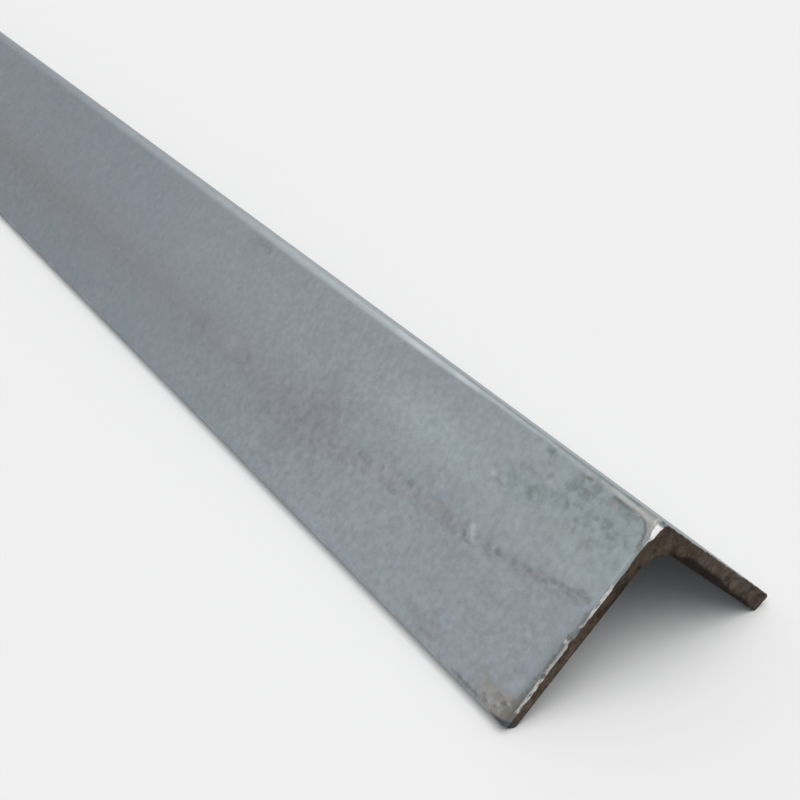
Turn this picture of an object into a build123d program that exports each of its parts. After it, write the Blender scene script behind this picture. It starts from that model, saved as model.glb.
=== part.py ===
from build123d import *
import os
from math import sqrt

# Equal leg angle, hot rolled in one piece from mild steel: 2 in x 2 in x 3/16 in, cut to 36 in.
# Millimetres. The length runs along X and the heel points up, so that the piece rests on
# the tips of its two legs. The origin is on the floor, below the heel, at half the length.

# Driving dimensions
stock_length = 914.4
leg_width = 50.8
leg_thickness = 4.7625
root_radius = 6.35  # rolled fillet in the inside corner
heel_radius = 1.1  # outside corner, just eased by the rolls
toe_inner_radius = 1.4  # rounded inner edge of each leg's tip
toe_outer_radius = 0.8  # eased outer edge of each leg's tip

# The inner edges of the two tips touch the floor. Rounding a square corner by r takes
# (2 - sqrt(2)) * r off its reach, counted along both sides of the corner.
toe_reach = leg_width + leg_thickness - (2 - sqrt(2)) * toe_inner_radius
heel_height = toe_reach / sqrt(2)

# Section plane at one cut end: the first leg slopes down to -Y and the second down to +Y.
section_plane = Plane(
    origin=(-stock_length / 2, 0, heel_height),
    x_dir=(0, -1, -1),
    z_dir=(1, 0, 0),
)


def rounded(profile, corner, radius):
    nearest = profile.vertices().sort_by_distance(corner)[0]
    return fillet(nearest, radius)


def angle_profile():
    # The heel is at (0, 0) before it is rounded, with one leg along each axis.
    heel = (0, 0)
    root = (leg_thickness, leg_thickness)
    first_tip = [(leg_width, 0), (leg_width, leg_thickness)]
    second_tip = [(leg_thickness, leg_width), (0, leg_width)]
    outline = Polyline(heel, *first_tip, root, *second_tip, close=True)

    profile = make_face(outline)
    profile = rounded(profile, heel, heel_radius)
    profile = rounded(profile, root, root_radius)
    for outer_edge, inner_edge in (first_tip, reversed(second_tip)):
        profile = rounded(profile, outer_edge, toe_outer_radius)
        profile = rounded(profile, inner_edge, toe_inner_radius)
    return profile


def angle_section():
    return extrude(section_plane * angle_profile(), amount=stock_length)


os.makedirs("parts", exist_ok=True)
export_step(angle_section(), "parts/angle_section.step")
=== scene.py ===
import math
import bpy
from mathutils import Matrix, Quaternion, Vector


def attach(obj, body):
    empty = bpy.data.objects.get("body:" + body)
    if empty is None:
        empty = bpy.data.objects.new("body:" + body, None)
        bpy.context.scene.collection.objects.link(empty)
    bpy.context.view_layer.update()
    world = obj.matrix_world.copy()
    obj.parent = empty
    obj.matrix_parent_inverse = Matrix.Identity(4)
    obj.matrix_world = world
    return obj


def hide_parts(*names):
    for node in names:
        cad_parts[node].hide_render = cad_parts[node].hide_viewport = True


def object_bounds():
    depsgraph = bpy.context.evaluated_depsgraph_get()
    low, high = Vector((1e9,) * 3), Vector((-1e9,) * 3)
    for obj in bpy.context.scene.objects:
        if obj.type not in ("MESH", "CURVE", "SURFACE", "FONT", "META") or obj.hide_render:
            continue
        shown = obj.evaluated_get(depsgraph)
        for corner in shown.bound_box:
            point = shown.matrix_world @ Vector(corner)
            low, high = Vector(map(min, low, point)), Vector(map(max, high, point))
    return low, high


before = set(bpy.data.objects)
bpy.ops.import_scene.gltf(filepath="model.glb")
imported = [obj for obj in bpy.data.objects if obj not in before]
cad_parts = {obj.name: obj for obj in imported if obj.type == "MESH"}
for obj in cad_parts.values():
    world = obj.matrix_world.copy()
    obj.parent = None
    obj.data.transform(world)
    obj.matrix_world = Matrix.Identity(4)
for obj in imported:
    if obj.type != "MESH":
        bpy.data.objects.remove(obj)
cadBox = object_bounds()
print("frame loaded", cadBox)


# node helpers

def operator(operation, swapped=False):
    def apply(self, other):
        pair = (other, self) if swapped else (self, other)
        return self.graph.maths(operation, *pair)
    return apply


class Wire:  # one output socket: arithmetic on it adds Math nodes
    def __init__(self, graph, socket):
        self.graph = graph
        self.socket = socket

    __add__ = operator("ADD")
    __radd__ = operator("ADD", swapped=True)
    __sub__ = operator("SUBTRACT")
    __rsub__ = operator("SUBTRACT", swapped=True)
    __mul__ = operator("MULTIPLY")
    __rmul__ = operator("MULTIPLY", swapped=True)
    __truediv__ = operator("DIVIDE")
    __pow__ = operator("POWER")
    least = operator("MINIMUM")
    most = operator("MAXIMUM")
    above = operator("GREATER_THAN")

    def __neg__(self):
        return 0.0 - self

    def __abs__(self):
        return self.graph.maths("ABSOLUTE", self)

    def ramp(self, low, high, top=1.0):  # smooth step from 0 at low to top at high; low may exceed high
        sockets = {"Value": self, "From Min": low, "From Max": high, "To Max": top}
        # a smooth step is clamped already, and Clamp would keep many more values live in a large material
        settings = {"interpolation_type": "SMOOTHSTEP", "clamp": False}
        return self.graph.add("ShaderNodeMapRange", settings, sockets)


class Graph:
    def __init__(self, tree):
        self.tree = tree

    def add(self, kind, settings=None, sockets=None, out=0):
        node = self.tree.nodes.new(kind)
        count = len(self.tree.nodes)
        node.location = (count % 14 * 190, count // 14 * -260)
        for name, value in (settings or {}).items():
            setattr(node, name, value)
        for key, value in (sockets or {}).items():
            if isinstance(value, Wire):
                self.tree.links.new(value.socket, node.inputs[key])
            elif node.inputs[key].type == "RGBA":
                node.inputs[key].default_value = (*value[:3], 1.0)
            else:
                node.inputs[key].default_value = value
        return Wire(self, node.outputs[out]) if node.outputs else None

    def maths(self, operation, *values):
        return self.add("ShaderNodeMath", {"operation": operation}, dict(enumerate(values)))

    def longer(self, a, b):
        return self.maths("SQRT", a * a + b * b)

    def split(self, vector):
        first = self.add("ShaderNodeSeparateXYZ", None, {0: vector})
        outputs = first.socket.node.outputs
        return [Wire(self, outputs[i]) for i in range(3)]

    def join(self, x, y, z):
        return self.add("ShaderNodeCombineXYZ", None, {0: x, 1: y, 2: z})

    def noise(self, vector, scale, detail=3.0, roughness=0.5, seed=0.0, distortion=0.0):
        sockets = {
            "Vector": vector, "W": seed, "Scale": scale, "Detail": detail,
            "Roughness": roughness, "Distortion": distortion,
        }
        return self.add("ShaderNodeTexNoise", {"noise_dimensions": "4D"}, sockets)

    def stretch(self, vector, scale):
        return self.add("ShaderNodeVectorMath", {"operation": "MULTIPLY"}, {0: vector, 1: scale})

    def rescaled(self, space, scale):  # the same for the pattern space of a material
        return self.add("ShaderNodeMapping", None, {"Vector": space, "Scale": scale})

    def course(self, value, *points):  # smooth steps through (value, level) points
        level = points[0][1]
        for (start, low), (end, high) in zip(points, points[1:]):
            level = value.ramp(start, end, high - low) + level
        return level

    def mixColour(self, factor, a, b):
        sockets = {0: factor, 6: a, 7: b}
        return self.add("ShaderNodeMix", {"data_type": "RGBA"}, sockets, out=2)

    def shade(self, colour, factor):  # colour times a value
        return self.add("ShaderNodeVectorMath", {"operation": "SCALE"}, {0: colour, "Scale": factor})

    def spot(self, plane, x, y, halfX, halfY, wobble, top):  # oval with a soft, uneven rim
        scaled = self.add("ShaderNodeVectorMath", {"operation": "MULTIPLY_ADD"}, {
            0: plane, 1: (1 / halfX, 1 / halfY, 0), 2: (-x / halfX, -y / halfY, 0),
        })
        reach = self.add("ShaderNodeVectorMath", {"operation": "LENGTH"}, {0: scaled}, out=1)
        return (reach + wobble).ramp(1.3, 0.15, top)


# the rolled section

angle = {
    "Length": cadBox[1].x - cadBox[0].x,
    "Leg Width": 0.0508,
    "Thickness": 0.0047625,
    "Root Radius": 0.00635,
    "Heel Radius": 0.00112,
    "Toe Inner Radius": 0.0014,
    "Toe Outer Radius": 0.0008,
    "Heel Height": 0.038709,
    "Rollover": 0.0007,  # rounding that the shear leaves on the outer edge of the first leg
    "Heel Rollover": 0.0016,  # the same where it meets the heel
    "Back Rollover": 0.00025,  # and on the second leg
    "Near Lag A": 0.00179,  # how far the tip of each leg is short of a square cut
    "Near Lag B": 0.00053,
    "Far Lag A": 0.0004,
    "Far Lag B": 0.0011,
    "Tear Depth": 0.00014,  # how far the torn part of a cut lies behind the sheared part
    "Waviness": 0.00005,
    "Seed": 4.0,
}
angleMesh = {
    "rows": 161,
    "stations": 241,
    "layers": 17,
    "evenRows": 0.035,  # share of the spacing along the length that is even; the rest crowds the cuts
    "crowding": 0.6,
    "sharpEdge": math.radians(38),
}
angleRelief = {  # noise scales, and how quickly the roll-over fades from the heel, per metre
    "ragged": 260.0,
    "worn": 120.0,
    "rolled": 60.0,
    "rough": 900.0,
    "heelFade": 330.0,
}


def easedCorner(graph, a, b, radius):
    # a and b are the depths below two faces that meet square: rounds their corner
    inA = (radius - a).most(0.0)
    inB = (radius - b).most(0.0)
    share = inA.most(inB) / graph.longer(inA, inB).most(1e-9)
    return a + inA * (1.0 - share), b + inB * (1.0 - share)


def bentCorner(graph, along, start, radius):
    # carries a point on a leg's face round the heel or the root: along the leg, and across it
    past = along - start - radius
    inside = past.least(0.0)
    reach = graph.longer(inside, radius)
    turned = start + radius + inside * radius / reach + past.most(0.0)
    return turned, start + radius - radius * radius / reach


def crowded(graph, value, amount):  # even steps from 0 to 1, drawn closer near both ends
    return value - graph.maths("SINE", value * math.tau) * (amount / math.tau)


def angleTree(finish):
    tree = bpy.data.node_groups.new("rolledAngle", "GeometryNodeTree")
    tree.interface.new_socket("Geometry", in_out="OUTPUT", socket_type="NodeSocketGeometry")
    for name, value in angle.items():
        socket = tree.interface.new_socket(name, in_out="INPUT", socket_type="NodeSocketFloat")
        socket.default_value = value
    graph = Graph(tree)
    entry = tree.nodes.new("NodeGroupInput")
    size = {name: Wire(graph, entry.outputs[name]) for name in angle}
    leg, thick, seed = size["Leg Width"], size["Thickness"], size["Seed"]

    # a block: the length, by the two legs unfolded, by the thickness
    block = graph.add("GeometryNodeMeshCube", None, {
        "Vertices X": angleMesh["rows"],
        "Vertices Y": angleMesh["stations"],
        "Vertices Z": angleMesh["layers"],
    })
    x, y, z = graph.split(graph.add("GeometryNodeInputPosition"))
    side = graph.maths("SIGN", x)
    nearEnd = x.above(0.0)
    secondLeg = y.above(0.0)

    # distance from the nearer cut, share of the leg from heel to tip, depth below the outer face
    halfLength = size["Length"] * 0.5
    inward = 1.0 - abs(x) * 2.0
    even = angleMesh["evenRows"]
    endGap = halfLength * (inward * even + inward ** 3.0 * (1.0 - even))
    share = crowded(graph, abs(y) * 2.0, angleMesh["crowding"])
    depth = crowded(graph, z + 0.5, angleMesh["crowding"]) * thick
    place = graph.join(side * (halfLength - endGap), y * 2.0 * leg, depth)

    # the shear rounds the outer edge of the cut unevenly, and hardly touches the inner one
    ragged = graph.noise(place, angleRelief["ragged"], 3.0, 0.6, seed)
    byHeel = graph.maths("EXPONENT", share * leg * -angleRelief["heelFade"])
    firstRounding = size["Rollover"] + (size["Heel Rollover"] - size["Rollover"]) * byHeel
    rounding = firstRounding + (size["Back Rollover"] - firstRounding) * y.ramp(0.0, 0.03)
    rounding = rounding * (0.5 + ragged)
    gap, depth = easedCorner(graph, endGap, depth, rounding)
    gap, innerDepth = easedCorner(graph, gap, thick - depth, rounding * 0.25)
    gap, tipGap = easedCorner(graph, gap, leg * (1.0 - share), rounding * 0.4)
    across = 1.0 - innerDepth / thick
    share = 1.0 - tipGap / leg

    # fold the block into the section
    alongOut, acrossOut = bentCorner(graph, leg * share, 0.0, size["Heel Radius"])
    alongIn, acrossIn = bentCorner(graph, thick + (leg - thick) * share, thick, size["Root Radius"])
    along = alongOut + (alongIn - alongOut) * across
    level = acrossOut + (acrossIn - acrossOut) * across
    lengthwise = graph.stretch(place, (0.4, 0.0, 0.0))
    worn = graph.noise(lengthwise, angleRelief["worn"], 3.0, 0.6, seed + 1.0)
    tip, level = easedCorner(graph, leg - along, level, size["Toe Outer Radius"] * (1.0 + worn * 0.3))
    tip, innerLevel = easedCorner(graph, tip, thick - level, size["Toe Inner Radius"])
    along, level = leg - tip, thick - innerLevel

    # faint waves of the rolls, always inwards
    drawn = graph.stretch(place, (0.35, 1.0, 1.0))
    rolled = graph.noise(drawn, angleRelief["rolled"], 2.0, 0.5, seed + 7.0)
    wave = size["Waviness"] * rolled * (along - level).ramp(0.001, 0.008)
    level = level + wave * (1.0 - across * 2.0)

    # the torn part of the cut: rough, and set back from the smooth sheared strip
    tear = (depth / thick + (ragged - 0.5) * 0.35).ramp(0.24, 0.36)
    rough = graph.noise(place, angleRelief["rough"], 4.0, 0.65, seed + 3.0)
    setBack = size["Tear Depth"] * tear * (0.2 + rough * 1.6)
    setBack = setBack * across.ramp(1.0, 0.92) * endGap.ramp(0.002, 0.0)

    first = along + (level - along) * secondLeg
    second = level + (along - level) * secondLeg
    lagA = size["Far Lag A"] + (size["Near Lag A"] - size["Far Lag A"]) * nearEnd
    lagB = size["Far Lag B"] + (size["Near Lag B"] - size["Far Lag B"]) * nearEnd
    lag = (lagA * first + lagB * second) / leg * (1.0 - endGap / halfLength)

    slope = math.sqrt(0.5)
    world = graph.join(
        side * (halfLength - gap - lag - setBack),
        (second - first) * slope,
        size["Heel Height"] - (first + second) * slope,
    )
    folded = graph.add("GeometryNodeSetPosition", None, {"Geometry": block, "Position": world})
    folded = graph.add("GeometryNodeSetShadeSmooth", {"domain": "FACE"}, {"Geometry": folded})
    sharp = graph.add("GeometryNodeInputMeshEdgeAngle").above(angleMesh["sharpEdge"])
    folded = graph.add("GeometryNodeSetShadeSmooth", {"domain": "EDGE"}, {
        "Geometry": folded, "Selection": sharp, "Shade Smooth": False,
    })
    folded = graph.add("GeometryNodeRealizeInstances", None, {"Geometry": folded})
    folded = graph.add("GeometryNodeSetMaterial", None, {"Geometry": folded, "Material": finish})
    exitNode = tree.nodes.new("NodeGroupOutput")
    tree.links.new(folded.socket, exitNode.inputs[0])
    return tree


def grownMesh(name, tree, values):
    holder = bpy.data.objects.new(name + "Source", bpy.data.meshes.new(name + "Source"))
    bpy.context.scene.collection.objects.link(holder)
    modifier = holder.modifiers.new("shape", "NODES")
    modifier.node_group = tree
    for item in tree.interface.items_tree:
        if item.in_out == "INPUT":
            modifier[item.identifier] = values[item.name]
    graph = bpy.context.evaluated_depsgraph_get()
    mesh = bpy.data.meshes.new_from_object(holder.evaluated_get(graph), depsgraph=graph)
    bpy.data.objects.remove(holder)
    mesh.name = name
    while None in mesh.materials[:]:
        mesh.materials.pop(index=mesh.materials[:].index(None))
    piece = bpy.data.objects.new(name, mesh)
    bpy.context.scene.collection.objects.link(piece)
    print(name, "faces", len(mesh.polygons), "materials", [m.name for m in mesh.materials])
    return piece


# finish

# sizes in millimetres: gap is counted from the cut, along from the heel
steelLook = {
    "blue": (0.236, 0.262, 0.290),
    "slate": (0.206, 0.240, 0.278),
    "green": (0.226, 0.262, 0.270),
    "teal": (0.268, 0.312, 0.332),
    "lilac": (0.246, 0.260, 0.294),
    "moss": (0.160, 0.192, 0.195),
    "brown": (0.218, 0.227, 0.246),
    "core": (0.190, 0.191, 0.209),
    "earth": (0.216, 0.225, 0.238),
    "rose": (0.272, 0.275, 0.288),
    "wine": (0.226, 0.207, 0.224),
    "umber": (0.132, 0.119, 0.108),
    # dark soot in marks, also the painted shade on the top of the heel
    "sootAndShade": (0.092, 0.112, 0.106),
    "sand": (0.228, 0.221, 0.208),
    "pale": (0.275, 0.272, 0.264),
    "fleck": (0.400, 0.408, 0.425),
    "cutEdgeDark": (0.105, 0.110, 0.104),
    "tip": (0.040, 0.045, 0.052),
    # painted reflection on the rounded toe edge
    "edge": (0.320, 0.375, 0.440),
    # painted highlight along the heel, away from the cut and near it
    "heel": (0.560, 0.640, 0.660),
    "heelHighlightNearCut": (0.600, 0.615, 0.560),
    "bare": (0.700, 0.680, 0.645),
    # painted highlight: the white glint where the heel meets the cut
    "bright": (0.900, 0.900, 0.880),
    "oxide": (0.061, 0.045, 0.032),
    "dusty": (0.094, 0.074, 0.062),
    "deep": (0.008, 0.005, 0.004),
    "seed": 2.0,
    "brightness": 1.012,
    "farShade": 0.265,  # painted shade: the face darker 370 mm from the cut, as the light falls off along the bar
    "middleFade": 0.07,  # darker beyond 130 mm, past the middle of the leg
    "restLift": 0.12,  # back up towards the far end
    "heelLift": 0.10,  # lighter beside the heel near the cut
    "fineFlecks": 0.58,
    "broadFlecks": 0.25,
    "grainFlecks": 0.25,
    "roughness": 0.52,
    "metallic": 0.30,
    "scaleRelief": 0.00004,
    "tornRoughness": 0.9,
    "tornSpecular": 0.12,
    "tornRelief": 0.0003,
    # courses: gap, then the level there
    "scuffShift": ((40, 0.0), (50, -1.0), (60, -0.2), (70, 0.5), (80, 1.5), (140, 0.0)),
    "scuffWidth": ((40, 2.2), (74, 2.8), (98, 5.6)),
    # where, how wide and how strong the painted highlight along the heel is
    "heelPlace": (
        (2, 1.4), (7, 1.2), (12, 1.05), (20, 1.2), (29, 1.0), (35, 0.5), (41, 0.8), (52, 0.77), (65, 1.0),
        (100, 1.1),
    ),
    "heelReach": ((10, 0.85), (30, 0.7), (52, 0.72), (80, 1.2), (100, 1.5), (140, 1.8)),
    "heelStrength": (
        (0, 0.12), (3, 0.24), (9, 0.3), (16, 0.08), (30, 0.12), (36, 0.16), (44, 0.16), (52, 0.24),
        (57, 0.22), (61, 0.42), (66, 0.6), (71, 0.38), (76, 0.44), (81, 0.66), (96, 0.36), (130, 0.33),
        (200, 0.22), (330, 0.1),
    ),
    # patches on the first leg: gap, along, half length, half width, colour, strength, how broken up
    "patches": (
        (66, 14, 27, 7.0, "teal", 0.9, 0.2),
        (62, 37, 26, 8, "lilac", 0.7, 0.1),
        (82, 23.5, 9, 4.5, "green", 0.8, 0.2),
        (97, 28, 9, 9, "core", 0.55, 0.3),
        (55, 6, 20, 3.5, "lilac", 0.7, 0.2),
        (150, 15, 42, 7, "lilac", 0.5, 0.2),
        (165, 4, 60, 4, "green", 0.6, 0.3),
        (103, 34, 20, 14, "core", 0.35, 0.3),
        (41, 8.3, 5.5, 2.8, "lilac", 0.7, 0.2),
        (16, 6, 17, 7, "moss", 0.95, 0.9),
        (10, 5.5, 11, 5, "moss", 0.8, 0.85),
        (33, 11, 11, 3.5, "moss", 0.6, 0.7),
        (28, 6, 4, 3, "rose", 0.35, 0.5),
        (18, 14, 12, 3, "sand", 0.12, 0.3),
        (143, 30, 4, 2.5, "rose", 0.6, 0.4),
        (135, 31, 5, 3, "core", 0.5, 0.5),
        (161, 31, 6, 4, "core", 0.5, 0.5),
        (157, 4, 5, 2.5, "moss", 0.8, 0.4),
        (5, 47.5, 9, 4.6, "sand", 0.9, 0.1),
        (4, 48.4, 6.5, 3.0, "sand", 1.0, 0.0),
        (4, 47.5, 6, 3.4, "umber", 0.35, 0.8),
        (32, 47, 7, 2.2, "earth", 0.8, 0.5),
        (30, 48.3, 5, 0.7, "umber", 0.35, 0.4),
        (54, 47.5, 3.0, 1.6, "rose", 0.6, 0.5),
        (8, 30, 5, 4, "green", 0.6, 0.3),
        (24, 31.5, 3, 2, "green", 0.6, 0.3),
        (76, 41, 7, 4.5, "green", 0.6, 0.3),
    ),
    # small marks on the first leg: gap, along, half length, half width, colour, strength
    "marks": (
        (2.6, 20.9, 0.8, 0.7, "sootAndShade", 0.35),
        (4.8, 20.8, 1.6, 0.9, "sootAndShade", 0.34),
        (6.4, 22.5, 1.2, 0.7, "umber", 0.45),
        (7.9, 21.7, 1.1, 0.7, "umber", 0.4),
        (9.8, 22.3, 0.9, 0.7, "umber", 0.35),
        (12.1, 22.4, 1.4, 0.9, "umber", 0.5),
        (13.7, 23.7, 1.3, 0.8, "umber", 0.4),
        (15.6, 23.1, 1.3, 0.7, "wine", 0.75),
        (17.8, 24.4, 1.6, 0.8, "wine", 0.8),
        (18.2, 23.9, 1.0, 0.6, "umber", 0.35),
        (19.8, 23.7, 1.5, 0.9, "sootAndShade", 0.42),
        (22.4, 24.8, 1.4, 0.8, "sootAndShade", 0.3),
        (21.2, 25.6, 1.1, 0.6, "sootAndShade", 0.32),
        (24.8, 25.1, 1.6, 0.8, "wine", 0.4),
        (28.0, 25.2, 1.3, 0.8, "sootAndShade", 0.3),
        (26.9, 25.9, 1.1, 0.6, "umber", 0.35),
        (30.4, 26.2, 1.4, 0.8, "sootAndShade", 0.3),
        (29.2, 27.1, 1.2, 0.8, "sootAndShade", 0.4),
        (37.0, 25.0, 1.3, 1.2, "fleck", 0.75),
        (36.0, 26.1, 1.2, 1.0, "fleck", 0.6),
        (34.9, 27.2, 1.1, 0.8, "fleck", 0.4),
        (34.4, 26.2, 0.8, 0.6, "sootAndShade", 0.3),
        (38.7, 25.2, 1.2, 1.1, "sootAndShade", 0.42),
        (37.6, 27.2, 1.2, 1.1, "sootAndShade", 0.55),
        (36.2, 28.1, 1.4, 0.6, "sootAndShade", 0.3),
        (41.5, 27.9, 1.9, 1.2, "sootAndShade", 0.25),
        (42.0, 25.2, 1.8, 1.2, "rose", 0.4),
        (46.5, 26.4, 2.8, 1.7, "wine", 0.28),
        (51.3, 26.8, 1.2, 0.7, "rose", 0.7),
        (50.3, 25.6, 2.2, 0.9, "sootAndShade", 0.22),
        (49.2, 27.2, 2.4, 1.4, "rose", 0.55),
        (55.0, 28.0, 1.9, 0.9, "sootAndShade", 0.2),
        (58.8, 26.6, 1.8, 0.8, "sootAndShade", 0.3),
        (58.6, 28.8, 2.2, 1.2, "rose", 0.65),
        (63.6, 31.0, 2.0, 0.9, "sootAndShade", 0.28),
        (66.6, 29.0, 1.8, 1.2, "fleck", 0.15),
        (68.9, 28.1, 1.4, 0.6, "sootAndShade", 0.3),
        (70.6, 30.6, 2.5, 1.5, "rose", 0.6),
        (73.5, 31.8, 2.0, 0.7, "umber", 0.25),
        (77.0, 29.9, 3.0, 0.8, "sootAndShade", 0.3),
        (80.5, 33.0, 2.4, 0.9, "umber", 0.25),
        (87.5, 32.2, 2.0, 1.2, "umber", 0.25),
        (84.5, 30.3, 1.6, 0.9, "fleck", 0.15),
        # painted shadow: the next mark darkens the rounded corner of the face by the cut
        (1.1, 5.0, 0.7, 1.4, "umber", 0.5),
        (9.6, 1.9, 4.0, 0.6, "sootAndShade", 0.95),
        (8.0, 2.5, 5.5, 0.9, "sootAndShade", 0.45),
        (31.4, 2.1, 1.9, 0.9, "sootAndShade", 0.9),
        (19.8, 1.9, 1.6, 0.65, "umber", 0.8),
        (18.6, 4.3, 1.5, 0.8, "umber", 0.45),
        (21.0, 4.0, 1.4, 1.4, "sootAndShade", 0.3),
        (11.0, 3.4, 2.4, 1.3, "wine", 0.6),
        (28.5, 6.3, 1.2, 1.1, "sootAndShade", 0.35),
        (27.3, 7.4, 1.2, 0.8, "fleck", 0.25),
        (41.3, 13.2, 1.3, 0.8, "fleck", 0.4),
        (36.5, 11.6, 3.4, 1.4, "sootAndShade", 0.2),
        (38.0, 13.9, 2.0, 0.9, "umber", 0.25),
        (29.3, 10.3, 3.4, 1.4, "sootAndShade", 0.18),
        (29.6, 12.6, 1.8, 0.7, "sootAndShade", 0.22),
        (14.3, 8.8, 2.6, 2.0, "sootAndShade", 0.22),
        (6.6, 8.6, 1.6, 0.8, "sootAndShade", 0.2),
        (4.1, 47.3, 0.9, 0.7, "umber", 1.0),
        (2.7, 47.9, 0.8, 0.6, "umber", 0.9),
        (8.0, 49.2, 1.0, 0.6, "umber", 0.8),
        (5.6, 49.0, 0.6, 0.4, "umber", 0.6),
        (9.4, 48.6, 0.6, 0.4, "umber", 0.5),
        (4.4, 49.5, 0.6, 0.4, "umber", 0.6),
        (6.2, 46.4, 0.9, 0.5, "umber", 0.4),
        (2.1, 45.8, 0.9, 1.1, "umber", 0.7),
        (3.1, 46.6, 0.6, 0.4, "fleck", 0.35),
        (5.4, 48.1, 0.7, 0.4, "fleck", 0.3),
        (7.2, 48.2, 0.7, 0.4, "fleck", 0.25),
        (14.5, 49.9, 7.0, 0.5, "sootAndShade", 0.6),
    ),
}


def newMaterial(name):
    material = bpy.data.materials.new(name)
    material.use_nodes = True
    material.node_tree.nodes.clear()
    return material, Graph(material.node_tree)


def sectionSpace(graph):
    # position in millimetres, back from the near end, and along each leg from the heel
    drop = angle["Heel Height"] * 1000 * math.sqrt(0.5)
    back = angle["Length"] * 500
    coords = graph.add("ShaderNodeTexCoord", out="Object")
    turned = graph.add("ShaderNodeMapping", None, {
        "Vector": coords,
        "Scale": (1000, 1000, 1000),
        "Rotation": (math.pi / 4, 0, 0),
        "Location": (-back, drop, -drop),
    })
    x, second, first = graph.split(turned)
    return turned, -x, -first, second


def cutLag(first, second, end):  # how far a cut is behind a square one
    leg = angle["Leg Width"]
    return first * (angle[end + " Lag A"] / leg) + second * (angle[end + " Lag B"] / leg)


def groundColour(graph, look, space, gap, along, onFirst):
    # cloudy scale, greener beside the heel
    drawn = graph.rescaled(space, (0.5, 1.0, 1.0))
    cloud = graph.noise(drawn, 0.05, 3.0, 0.55, look["seed"])
    tint = graph.noise(space, 0.13, 2.0, 0.5, look["seed"] + 40)
    nearHeel = (along + cloud * 14).ramp(30, 20) * gap.ramp(75, 25)
    green = (cloud.ramp(0.45, 0.6) * gap.ramp(230, 120) * 0.6).most(nearHeel * onFirst)
    green = green.most(tint.ramp(0.52, 0.66) * 0.4)
    colour = graph.mixColour(gap.ramp(60, 240), look["blue"], look["slate"])
    colour = graph.mixColour(tint.ramp(0.48, 0.34) * 0.5, colour, look["lilac"])
    return graph.mixColour(green, colour, look["green"])


def rolledColour(graph, look, colour, space, along, medium):
    # long dull streaks and small mottles, where nothing else marks the scale
    streaks = graph.noise(graph.rescaled(space, (0.012, 1.0, 1.0)), 0.22, 2.0, 0.5, look["seed"] + 60)
    mottles = graph.noise(graph.rescaled(space, (0.3, 1.0, 1.0)), 0.3, 3.0, 0.6, look["seed"] + 61)
    middle = abs(along - 29.0 + (medium - 0.5) * 4).ramp(11, 2) * 0.45
    colour = graph.mixColour(middle.most(streaks.ramp(0.48, 0.66) * 0.6), colour, look["brown"])
    colour = graph.mixColour(streaks.ramp(0.46, 0.34) * 0.4, colour, look["teal"])
    colour = graph.mixColour(mottles.ramp(0.57, 0.7) * 0.4, colour, look["core"])
    return graph.mixColour(mottles.ramp(0.41, 0.3) * 0.3, colour, look["rose"])


def scuffColour(graph, look, colour, space, gap, along, specks):
    # a run of scuffs near the cut, that widens into a dull band down the leg
    fine, medium, grain = specks
    mottles = graph.noise(space, 0.42, 2.0, 0.5, look["seed"] + 30)
    centre = 31.0 - 10.8 * graph.maths("EXPONENT", gap * -0.025)
    centre = centre + graph.course(gap, *look["scuffShift"])
    offset = along - centre + (medium - 0.5) * 3
    widening = graph.course(gap, *look["scuffWidth"])
    smear = (abs(offset) / widening).ramp(1.3, 0.3) * gap.ramp(34, 42) * gap.ramp(140, 80)
    band = abs(offset / 1.6).ramp(8.5, 1.5) * gap.ramp(60, 130) * (0.55 + gap.ramp(180, 270) * 0.35)
    spine = abs(offset).ramp(5.5, 1.0) * gap.ramp(100, 180) * 0.3
    trail = abs(offset).ramp(2.4, 0.4) * gap.ramp(1, 4) * gap.ramp(34, 28)
    colour = graph.mixColour(band * (0.8 + medium * 0.4), colour, look["brown"])
    colour = graph.mixColour(spine, colour, look["core"])
    colour = graph.mixColour(smear * 0.6, colour, look["earth"])
    colour = graph.mixColour(smear * mottles.ramp(0.48, 0.62) * 0.6, colour, look["core"])
    colour = graph.mixColour(smear * mottles.ramp(0.46, 0.36) * 0.5, colour, look["rose"])
    colour = graph.mixColour(trail * (0.15 + mottles.ramp(0.42, 0.6) * 0.35), colour, look["moss"])
    under = abs(offset - 1.1).ramp(1.5, 0.3) * gap.ramp(1, 4) * gap.ramp(34, 28)
    colour = graph.mixColour(under * (0.2 + mottles.ramp(0.6, 0.45) * 0.3), colour, look["earth"])

    plane = graph.join(gap, along, 0.0)
    mottles = mottles.ramp(0.46, 0.60)
    for *oval, name, strength, broken in look["patches"]:
        mask = graph.spot(plane, *oval, (medium - 0.5) * 2.4, strength)
        colour = graph.mixColour(mask * (1.0 - broken + mottles * broken), colour, look[name])
    speckled = graph.spot(plane, 4.0, 47.6, 7.5, 4.0, (medium - 0.5) * 2.4, 1.0)
    colour = graph.mixColour(speckled * grain.ramp(0.53, 0.66) * 0.55, colour, look["umber"])
    colour = graph.mixColour(speckled * grain.ramp(0.46, 0.34) * 0.4, colour, look["fleck"])
    uneven = (fine - 0.5) * 2.4 + (medium - 0.5) * 1.6
    for *oval, name, strength in look["marks"]:
        colour = graph.mixColour(graph.spot(plane, *oval, uneven, strength), colour, look[name])
    return colour


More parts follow.
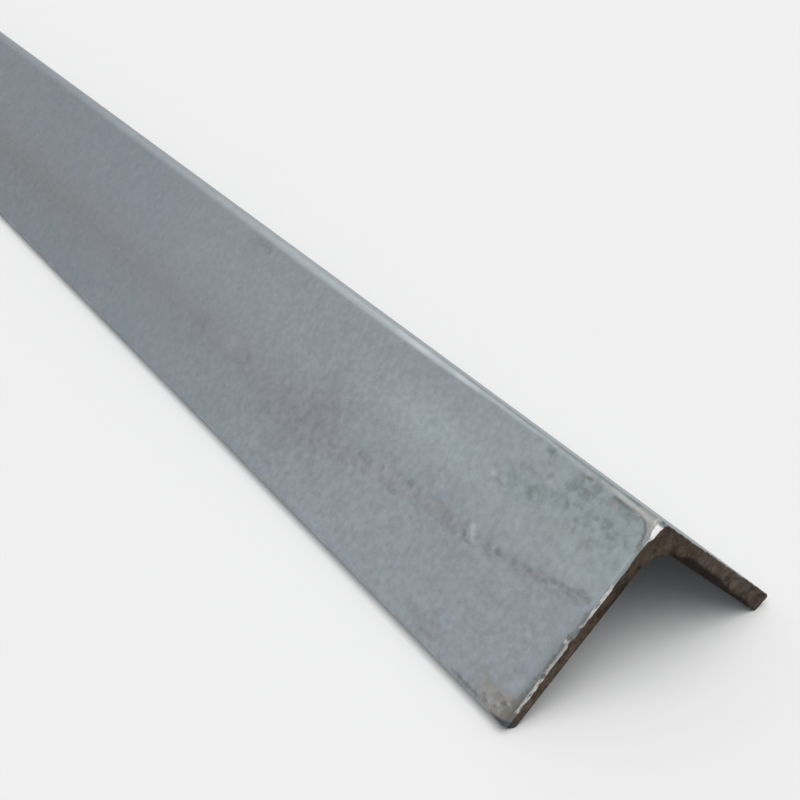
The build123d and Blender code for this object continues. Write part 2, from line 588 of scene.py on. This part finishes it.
def wornAndLitColour(graph, look, colour, space, gap, first, second, cutGap, specks):
    # painted highlight along the heel, painted shade on its top, painted reflection on the toe edge, the
    # corner by the cut drawn rounded in colour, darker marks along the cut and the toe; also how much bare
    # metal shows
    fine, medium, grain = specks
    onFace = second.ramp(1.2, 0.6)
    patchy = graph.noise(graph.rescaled(space, (0.2, 1.0, 1.0)), 0.5, 3.0, 0.6, look["seed"] + 20)
    rim = second - cutGap

    # painted shade: the top of the heel, which faces the lamp, is made darker, more so near the cut
    heelTopShade = first.ramp(0.8 + gap.ramp(9, 3) * 0.3, 0.3) * second.ramp(2.5, 1.2)
    heelTopShade = heelTopShade * (0.10 + gap.ramp(85, 30) * 0.18 + gap.ramp(12, 2) * 0.5)
    colour = graph.mixColour(heelTopShade, colour, look["sootAndShade"])
    # painted reflection: the rounded toe edge made lighter and bluer away from the cut
    toeSheen = first.ramp(49.9, 50.3) * second.ramp(1.3, 0.9) * gap.ramp(8, 30) * patchy.ramp(0.4, 0.7) * 0.6
    colour = graph.mixColour(toeSheen, colour, look["edge"])

    # the corner of the face between the heel and the cut is drawn rounded in colour: pale outside the curve,
    # partly worn and partly a painted highlight, with a painted shadow along the curve
    inset = 5.0 - graph.longer((5.2 - cutGap).most(0.0), (6.2 - first).most(0.0))
    byCorner = onFace * first.ramp(9.5, 6.5) * gap.ramp(12, 7)
    cornerWearAndHighlight = (inset + (fine - 0.5) * 0.6).ramp(0.35, -0.1) * gap.ramp(7, 5) * first.ramp(4.4, 2.8)
    colour = graph.mixColour(cornerWearAndHighlight * onFace * 0.8, colour, look["pale"])
    shadow = abs(inset - 0.5 + first.ramp(5, 7) * 0.3 + (fine - 0.5) * 1.0).ramp(0.55, 0.05)
    colour = graph.mixColour(shadow * byCorner * (0.3 + medium), colour, look["umber"])

    # a darker rim and line along the outer edge of the cut, brown dirt near the toe, and darker at the toe's
    # tip
    cutEdgeDarkening = (rim + (fine - 0.5)).ramp(-2.4, -0.3) * first.ramp(24, 32) * 0.3
    line = (rim + (fine - 0.5) * 1.8 + (grain - 0.5)).ramp(-1.1, -0.1)
    line = line * (first.ramp(15, 18) * 0.15 + first.ramp(20, 24) * 0.75)
    line = line * (0.5 + (fine * 0.6 + grain * 0.4).ramp(0.4, 0.58) * 0.5)
    toeDirt = rim.ramp(-2.5, -1.0) * first.ramp(46.2, 47.6) * 0.6
    colour = graph.mixColour(cutEdgeDarkening.most(line) * second.ramp(3.2, 2.2), colour, look["cutEdgeDark"])
    colour = graph.mixColour(toeDirt, colour, look["umber"])
    tipStart = 50.2 - 1.3 * graph.maths("EXPONENT", gap * -0.45)
    tipDarkening = (first - tipStart).ramp(-0.4, 0.3) * gap.ramp(7, 3) * second.ramp(5, 4)
    colour = graph.mixColour(tipDarkening, colour, look["tip"])

    # painted highlight along the heel, partly bare metal
    centre = graph.course(gap, *look["heelPlace"])
    reach = graph.course(gap, *look["heelReach"])
    strength = graph.course(gap, *look["heelStrength"])
    heelHighlight = abs(first - centre).ramp(reach, 0.1) * onFace * strength * (0.6 + patchy * 0.8)
    heelHighlightColour = graph.mixColour(gap.ramp(24, 14), look["heel"], look["heelHighlightNearCut"])
    return graph.mixColour(heelHighlight, colour, heelHighlightColour), heelHighlight * 0.3


def cutWear(first, second, level, cutGap, specks):
    # the cut: an edge rolled over by the shear, broken strips it burnished, then a torn surface; also a
    # painted highlight, a white glint, where the heel meets the cut
    fine, medium, grain = specks
    ragged = (fine - 0.5) * 0.9 + (medium - 0.5) * 0.6
    rim = second - cutGap
    blobSpan = first.ramp(5.6, 3.0) * second.ramp(2.7, 1.9) * first.ramp(0.7, 1.4)
    tearStart = 0.95 + blobSpan * 1.1 + first.ramp(9, 12) * 0.35 + first.ramp(14, 17) * 0.3
    tearStart = tearStart + first.ramp(22, 25) * 0.3 - first.ramp(29, 31) * 0.05 + first.ramp(32, 46) * 0.65
    tearStart = tearStart - second.ramp(1.6, 3.2) * first.ramp(6, 2) * 0.8
    notches = abs(first - 29.8).ramp(1.1, 0.3) * 0.8 + abs(first - 26.1).ramp(0.8, 0.2) * 0.4
    tearStart = tearStart - notches * second.ramp(4, 3)
    torn = (level + ragged - tearStart).ramp(-0.12, 0.12) * cutGap.ramp(0.75, 0.45)

    # painted highlight: a glint at the heel corner of the cut, with a tail down its edge
    cornerGlint = (rim + ragged - first.ramp(2.8, 4.4) * 0.65).ramp(-0.3, 0.2) * first.ramp(4.9, 3.5)
    tail = (level + ragged - tearStart + 0.45).ramp(0.0, 0.2) * first.ramp(6.6, 5.4) * cutGap.ramp(0.6, 0.25)
    cornerGlint = cornerGlint.most(tail * 0.6) * first.ramp(0.9, 1.6) * second.ramp(2.5, 2.1)
    stripWidth = 1.25 + (0.25 + (medium - 0.5) * 1.2) * first.ramp(24, 30) + first.ramp(35, 40) * 0.15
    strip = (level + ragged * 0.6 - tearStart + stripWidth) / (0.3 + first.ramp(22, 30) * 0.3)
    strip = strip.ramp(0.0, 1.0) * cutGap.ramp(0.6, 0.25)
    strip = strip * first.ramp(15.4, 16.2) * first.ramp(47.6, 46.8) * second.ramp(5, 4)
    gaps = (medium * 0.5 + fine * 0.5 + first.ramp(22, 23) * first.ramp(31, 30) * 0.04).ramp(0.60, 0.52)
    strip = strip * gaps * (0.85 - first.ramp(22, 24) * 0.3 + first.ramp(35, 40) * 0.2)
    strip = strip * (0.72 + grain.ramp(0.38, 0.62) * 0.5)
    return torn, cornerGlint, strip


def tornColour(graph, look, space, first, second, level, medium):
    chips = graph.noise(space, 0.6, 3.0, 0.6, look["seed"] + 50, 0.6)
    paler = second.ramp(14, 24) * 0.9 - second.ramp(34, 40) * 0.45 + first.ramp(28, 34) * 0.45
    colour = graph.mixColour(paler * medium.ramp(0.3, 0.6), look["oxide"], look["dusty"])
    # painted shade: the torn cut darker near the inner face of the legs
    deepStart = 3.8 - second.ramp(12, 17) * 0.9 + second.ramp(28, 38) * 0.9 - first.ramp(8, 12) * 0.3
    along = first.most(second)
    deep = (level + (medium - 0.5) * 2.2 - deepStart).ramp(-0.6, 0.6) * along.ramp(7, 11)
    deep = deep * second.ramp(49, 46) * first.ramp(26, 20) * (0.5 + second.ramp(6, 12) * 0.45)
    colour = graph.mixColour(deep, colour, look["deep"])
    colour = graph.mixColour(first.ramp(48.2, 50.0) * 0.75, colour, look["tip"])
    return graph.shade(colour, (chips * 3.0 - 0.5) * (1.0 - first.ramp(13, 17) * first.ramp(27, 22) * 0.18))


def angleSteel():
    look = steelLook
    seed = look["seed"]
    material, graph = newMaterial("angleSteel")
    space, gap, first, second = sectionSpace(graph)
    along = first.most(second)
    level = first.least(second)
    onFirst = second.ramp(1.6, 0.8)
    specks = (
        graph.noise(space, 0.62, 3.0, 0.5, seed + 5),
        graph.noise(space, 0.33, 3.0, 0.55, seed + 12),
        graph.noise(space, 2.2, 2.0, 0.5, seed + 8),
    )
    fine, medium, grain = specks
    nearGap = gap - cutLag(first, second, "Near")
    farGap = angle["Length"] * 1000 - gap - cutLag(first, second, "Far")
    cutGap = nearGap.least(farGap)

    ground = groundColour(graph, look, space, gap, along, onFirst)
    scuffed = scuffColour(graph, look, ground, space, gap, along, specks)
    rolled = rolledColour(graph, look, ground, space, along, medium)
    colour = graph.mixColour(onFirst * gap.ramp(480, 380), rolled, scuffed)
    # painted shade: the face grows darker away from the near cut, as if the light fell off along the bar;
    # lighter again towards the far end, and beside the heel near the cut
    shadedLevel = look["brightness"] - gap.ramp(50, 370) * look["farShade"]
    shadedLevel = shadedLevel - gap.ramp(80, 130) * along.ramp(26, 36) * look["middleFade"]
    shadedLevel = shadedLevel + gap.ramp(420, 800) * look["restLift"]
    shadedLevel = shadedLevel + onFirst * along.ramp(25, 18) * gap.ramp(90, 15) * look["heelLift"]
    flecks = (fine - 0.5) * look["fineFlecks"] + (medium - 0.5) * look["broadFlecks"]
    flecks = flecks + (grain - 0.5) * look["grainFlecks"]
    colour = graph.shade(colour, shadedLevel + flecks * (1.0 - gap.ramp(80, 200) * 0.5))

    colour, bare = wornAndLitColour(graph, look, colour, space, gap, first, second, cutGap, specks)
    torn, cornerGlint, strip = cutWear(first, second, level, cutGap, specks)
    # bare metal of the burnished strips, with the painted highlights of the heel line and the glint by the
    # heel corner of the cut
    bare = bare.most(strip).most(cornerGlint)
    colour = graph.mixColour(bare, colour, look["bare"])
    # painted highlight: the white glint where the heel meets the cut
    colour = graph.mixColour(cornerGlint * first.ramp(5.5, 3.6), colour, look["bright"])
    oxide = tornColour(graph, look, space, first, second, level, medium)

    height = fine * 0.6 + medium * 0.6 + grain * 0.2
    scaleBump = graph.add("ShaderNodeBump", None, {
        "Strength": 1.0, "Distance": look["scaleRelief"], "Height": height,
    })
    smooth = graph.add("ShaderNodeBsdfPrincipled", None, {
        "Base Color": colour, "Roughness": look["roughness"] - fine * 0.10 - bare * 0.12,
        "Metallic": look["metallic"] + bare * 0.5, "Normal": scaleBump,
    })
    height = fine + medium * 0.7 + grain * 0.4
    tearBump = graph.add("ShaderNodeBump", None, {
        "Strength": 1.0, "Distance": look["tornRelief"], "Height": height,
    })
    rough = graph.add("ShaderNodeBsdfPrincipled", None, {
        "Base Color": oxide, "Roughness": look["tornRoughness"],
        "Specular IOR Level": look["tornSpecular"], "Normal": tearBump,
    })
    surface = graph.add("ShaderNodeMixShader", None, {0: torn, 1: smooth, 2: rough})
    graph.add("ShaderNodeOutputMaterial", None, {"Surface": surface})
    return material


bar = grownMesh("rolled_angle", angleTree(angleSteel()), angle)
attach(bar, "root")
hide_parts("angle_section")


# floor, light and camera

studio = {
    "floorSize": 12.0,
    "floorColour": (0.80, 0.80, 0.80, 1.0),
    "worldStrength": 0.45,
    "backdrop": 0.883,  # how pale the world is to the camera: the level of the lit floor
    "cameraPlace": (0.605489, -0.153925, 0.196504),
    "cameraAim": (-0.71462, 0.45656, -0.52998),
    "cameraRoll": math.radians(0.782),
    "lens": 61.03,
}
lamps = {
    "key": {"from": (0.20, -0.15, 1.0), "angle": math.radians(60), "strength": 2.07},
}


def makeFloor():
    material, graph = newMaterial("paleFloor")
    surface = graph.add("ShaderNodeBsdfPrincipled", None, {
        "Base Color": studio["floorColour"], "Roughness": 0.9, "Specular IOR Level": 0.2,
    })
    graph.add("ShaderNodeOutputMaterial", None, {"Surface": surface})
    half = studio["floorSize"] / 2
    mesh = bpy.data.meshes.new("floor")
    corners = [(-half, -half, 0), (half, -half, 0), (half, half, 0), (-half, half, 0)]
    mesh.from_pydata(corners, [], [(0, 1, 2, 3)])
    mesh.materials.append(material)
    floor = bpy.data.objects.new("floor", mesh)
    bpy.context.scene.collection.objects.link(floor)


def makeWorld():
    world = bpy.data.worlds.new("studio")
    world.use_nodes = True
    world.node_tree.nodes.clear()
    graph = Graph(world.node_tree)
    rays = graph.add("ShaderNodeLightPath")
    seen = rays.socket.node.outputs
    ambient = studio["worldStrength"]
    mirrored = Wire(graph, seen["Is Glossy Ray"]) * (1.0 - ambient)
    strength = mirrored + Wire(graph, seen["Is Camera Ray"]) * (studio["backdrop"] - ambient) + ambient
    background = graph.add("ShaderNodeBackground", None, {"Color": (1, 1, 1, 1), "Strength": strength})
    graph.add("ShaderNodeOutputWorld", None, {"Surface": background})
    bpy.context.scene.world = world


def makeLamp(name, look):
    data = bpy.data.lights.new(name, "SUN")
    data.angle = look["angle"]
    data.energy = look["strength"]
    lamp = bpy.data.objects.new(name, data)
    lamp.location = look["from"]
    lamp.rotation_mode = "QUATERNION"
    lamp.rotation_quaternion = (-Vector(look["from"])).to_track_quat("-Z", "Y")
    bpy.context.scene.collection.objects.link(lamp)


def makeCamera():
    data = bpy.data.cameras.new("camera")
    data.lens = studio["lens"]
    data.sensor_width = 36.0
    data.clip_start = 0.01
    data.clip_end = 50.0
    camera = bpy.data.objects.new("camera", data)
    camera.location = studio["cameraPlace"]
    aim = Vector(studio["cameraAim"])
    camera.rotation_mode = "QUATERNION"
    camera.rotation_quaternion = aim.to_track_quat("-Z", "Y") @ Quaternion((0, 0, 1), -studio["cameraRoll"])
    bpy.context.scene.collection.objects.link(camera)
    bpy.context.scene.camera = camera


makeFloor()
makeWorld()
for name, look in lamps.items():
    makeLamp(name, look)
makeCamera()
bpy.context.scene.view_settings.view_transform = "Standard"
print("studio made")
